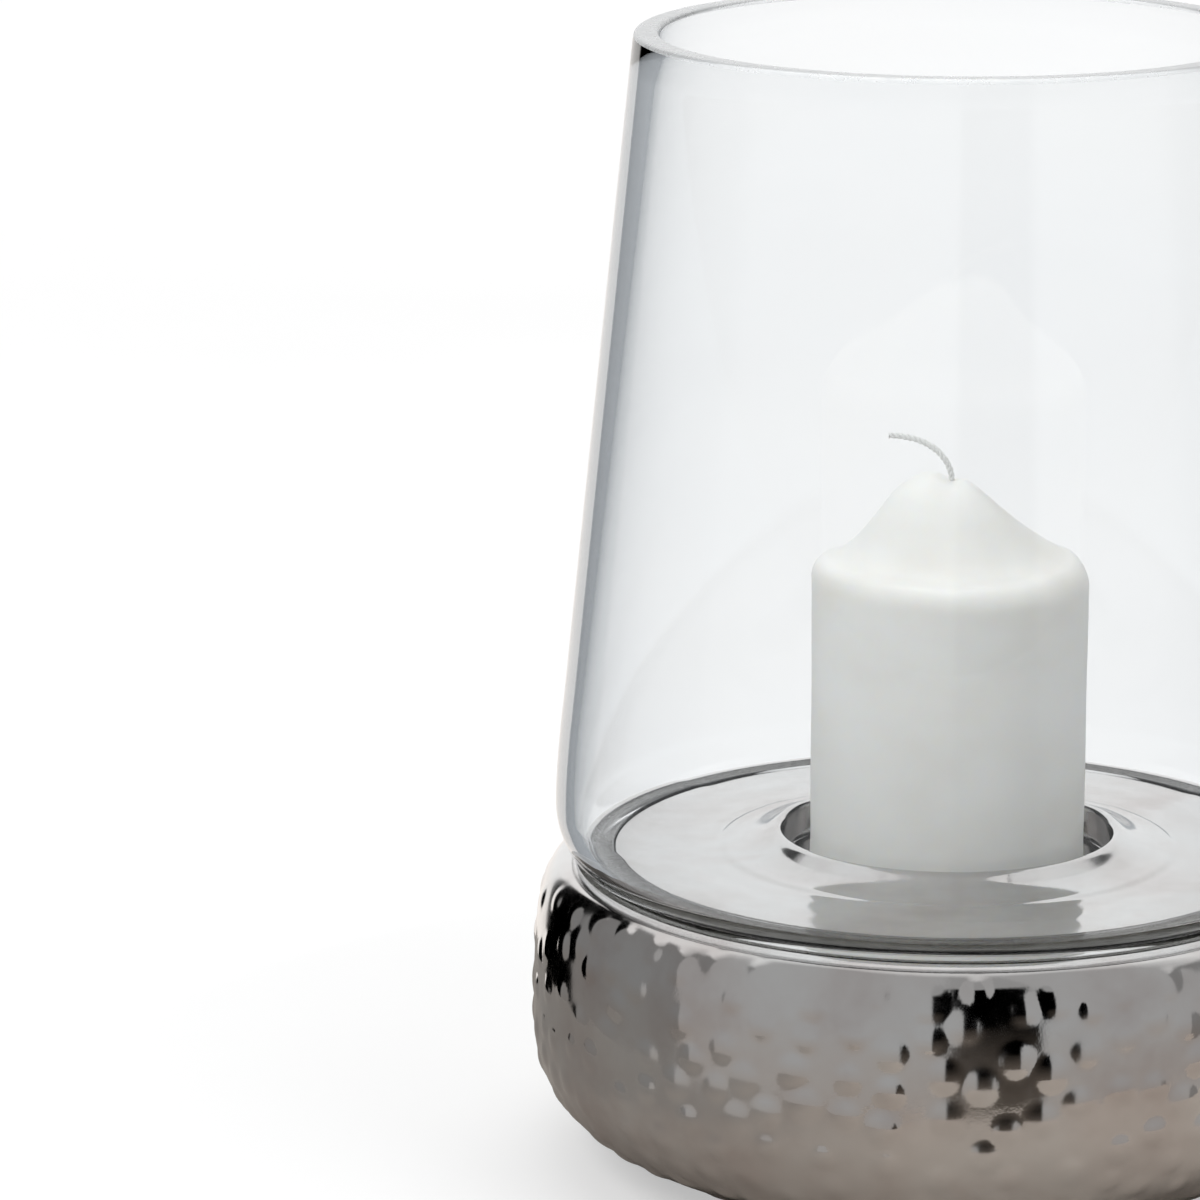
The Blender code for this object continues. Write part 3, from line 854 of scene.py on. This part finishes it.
def make_floor():
    """A white sheet, and the darker disc of painted shade that polished surfaces show instead of it."""
    disc = new_mesh("floor_disc", plain_ring(TABLE_RADIUS, 0.0006, 96), [tuple(range(96))], smooth=False)
    disc.visible_camera = disc.visible_diffuse = disc.visible_transmission = disc.visible_shadow = False
    disc.data.materials.append(table_material())
    sheet = new_mesh("floor_sheet", plain_ring(12.0, 0.0, 96), [tuple(range(96))], smooth=False)
    sheet.visible_glossy = False
    sheet.data.materials.append(paper_material())


def area_light(name, place, aim, size, power):
    data = bpy.data.lights.new(name, "AREA")
    data.shape = "DISK"
    data.size = size
    data.energy = power
    light = bpy.data.objects.new(name, data)
    light.location = place
    light.rotation_euler = (Vector(aim) - Vector(place)).to_track_quat("-Z", "Y").to_euler()
    light.visible_camera = light.visible_glossy = light.visible_transmission = False
    bpy.context.scene.collection.objects.link(light)


# Brightness of the studio's walls by compass angle, in degrees from the front (0) round the left (90)
# to the back (180): white behind, a black strip on each side of that, grey walls at the sides, and a
# lighter front with one black strip just right of its middle.
STUDIO = [(-180, 1.04), (-150, 1.04), (-149, 0.0), (-126, 0.0), (-125, 0.25), (-78, 0.25), (-77, 0.43),
          (-27, 0.43), (-26, 0.0), (-2, 0.0), (-1, 0.43), (76, 0.43), (78, 0.25), (125, 0.25), (126, 0.0),
          (149, 0.0), (150, 1.04), (180, 1.04)]
UPPER_FRONT = (0.36, 0.36, 0.36)    # least brightness high up, in front and behind
UPPER_BACK = (0.92, 0.92, 0.92)
OVERHEAD = (0.74, 0.74, 0.74)
LOW_TINT = (0.95, 0.88, 0.82)       # of the walls below the horizon
LOW_GLOW = (0.10, 0.082, 0.068)     # least brightness there, in front


def make_world():
    world = bpy.data.worlds.new("studio")
    bpy.context.scene.world = world
    world.use_nodes = True
    tree = world.node_tree
    axes = add(tree, "ShaderNodeSeparateXYZ")
    tree.links.new(add(tree, "ShaderNodeTexCoord").outputs["Generated"], axes.inputs["Vector"])
    turn = add(tree, "ShaderNodeMath", operation="ARCTAN2")
    for index, axis in enumerate("XY"):
        minus = add(tree, "ShaderNodeMath", {1: -1.0}, operation="MULTIPLY")
        tree.links.new(axes.outputs[axis], minus.inputs[0])
        tree.links.new(minus.outputs[0], turn.inputs[index])
    around = rescale(tree, turn.outputs[0], 0.0, 1.0, -math.pi, math.pi)
    walls = ramp(tree, around, [((angle + 180.0) / 360.0, (level,) * 3) for angle, level in STUDIO])
    height = axes.outputs["Z"]
    front = rescale(tree, axes.outputs["Y"], 1.0, 0.0, -0.7, -0.2)
    tinted = mix_colors(tree, "MULTIPLY", 1.0, walls, LOW_TINT)
    low = mix_colors(tree, "LIGHTEN", front, tinted, LOW_GLOW)
    behind = rescale(tree, axes.outputs["Y"], 0.0, 1.0, -0.20, 0.15)
    upper = mix_colors(tree, "MIX", behind, UPPER_FRONT, UPPER_BACK)
    high = mix_colors(tree, "LIGHTEN", 1.0, walls, upper)
    walls = mix_colors(tree, "MIX", rescale(tree, height, 1.0, 0.0, -0.34, 0.02), walls, low)
    walls = mix_colors(tree, "MIX", rescale(tree, height, 0.0, 1.0, 0.60, 0.66), walls, high)
    room = mix_colors(tree, "MIX", rescale(tree, height, 0.0, 1.0, 0.93, 0.985), walls, OVERHEAD)
    path = add(tree, "ShaderNodeLightPath")
    seen = mix_colors(tree, "MIX", path.outputs["Is Camera Ray"], room, (1.0, 1.0, 1.0))
    tree.links.new(seen, tree.nodes["Background"].inputs["Color"])


def make_camera():
    data = bpy.data.cameras.new("camera")
    data.sensor_width = 36.0
    data.lens = 177.5
    camera = bpy.data.objects.new("camera", data)
    bpy.context.scene.collection.objects.link(camera)
    yaw, pitch = -0.0608, 0.2379
    camera.location = (0.0, -1.4586, 0.4972)
    toward = Vector((math.sin(yaw) * math.cos(pitch), math.cos(yaw) * math.cos(pitch), -math.sin(pitch)))
    camera.rotation_euler = toward.to_track_quat("-Z", "Y").to_euler()
    bpy.context.scene.camera = camera


bpy.context.scene.view_settings.view_transform = "Standard"
make_base()
make_chimney()
make_candle()
make_wick()
make_sustainer()
felt = felt_material()
for pad_index in range(1, 5):
    make_pad(pad_index, felt)
make_floor()
area_light("back_key", (0.0, 1.1, 2.2), (0.0, 0.35, 0.0), 2.4, 22.0)
area_light("left_fill", (-1.2, -1.0, 1.6), (0.0, 0.0, 0.1), 1.2, 26.0)
area_light("right_fill", (1.3, -0.9, 1.2), (0.0, 0.0, 0.1), 1.2, 10.0)
make_world()
make_camera()
